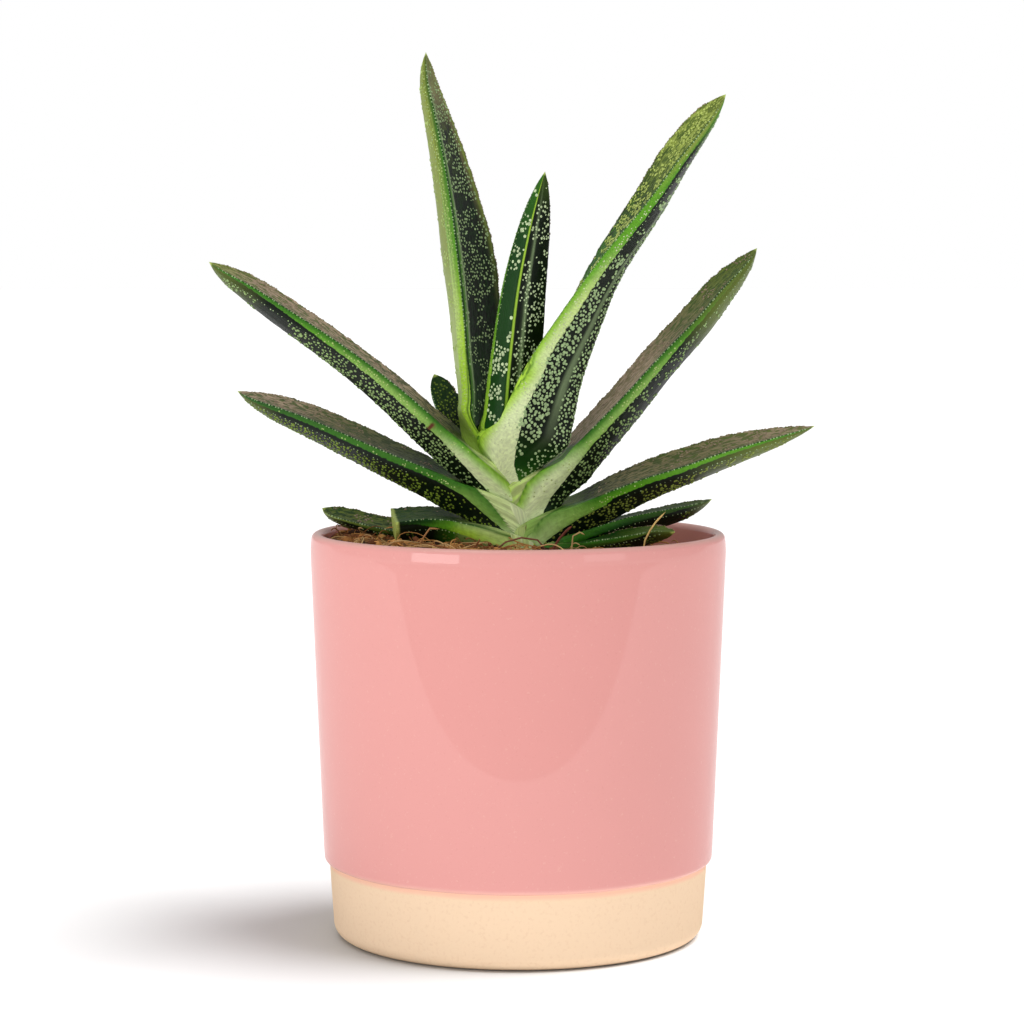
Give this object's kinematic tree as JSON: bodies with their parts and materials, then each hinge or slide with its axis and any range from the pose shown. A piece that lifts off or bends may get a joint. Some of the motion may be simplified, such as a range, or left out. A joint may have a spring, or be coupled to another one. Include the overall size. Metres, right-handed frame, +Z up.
{
  "type": "potted gasteria",
  "caption": "Succulent with thick keeled, spotted leaves fanned in two ranks, growing in coir soil in a round pink-glazed clay pot with a bare foot.",
  "frame": {"origin": "centre of the pot's underside", "axes": "+Z up the pot's axis; -Y towards the viewer of the picture; +X to the viewer's right, along which the leaves fan out"},
  "size_m": [0.1931, 0.1348, 0.2863],
  "materials": {
    "pink_glaze": "glossy pink glaze over a pale clay foot",
    "coir_soil": "loose brown coir",
    "crown_tissue": "pale green plant tissue",
    "leaf_skin": "dark green skin with pale raised dots"
  },
  "bodies": {
    "root": {"pot": "pink_glaze", "soil": "coir_soil", "stem": "crown_tissue", "leaf_centre": "leaf_skin", "leaf_tall_left": "leaf_skin", "leaf_tall_right": "leaf_skin", "leaf_rear_small": "leaf_skin", "leaf_upper_left": "leaf_skin", "leaf_upper_right": "leaf_skin", "leaf_middle_left": "leaf_skin", "leaf_middle_right": "leaf_skin", "leaf_cut": "leaf_skin", "leaf_low_left": "leaf_skin", "leaf_low_right": "leaf_skin", "leaf_low_front": "leaf_skin"}
  },
  "joints": []
}
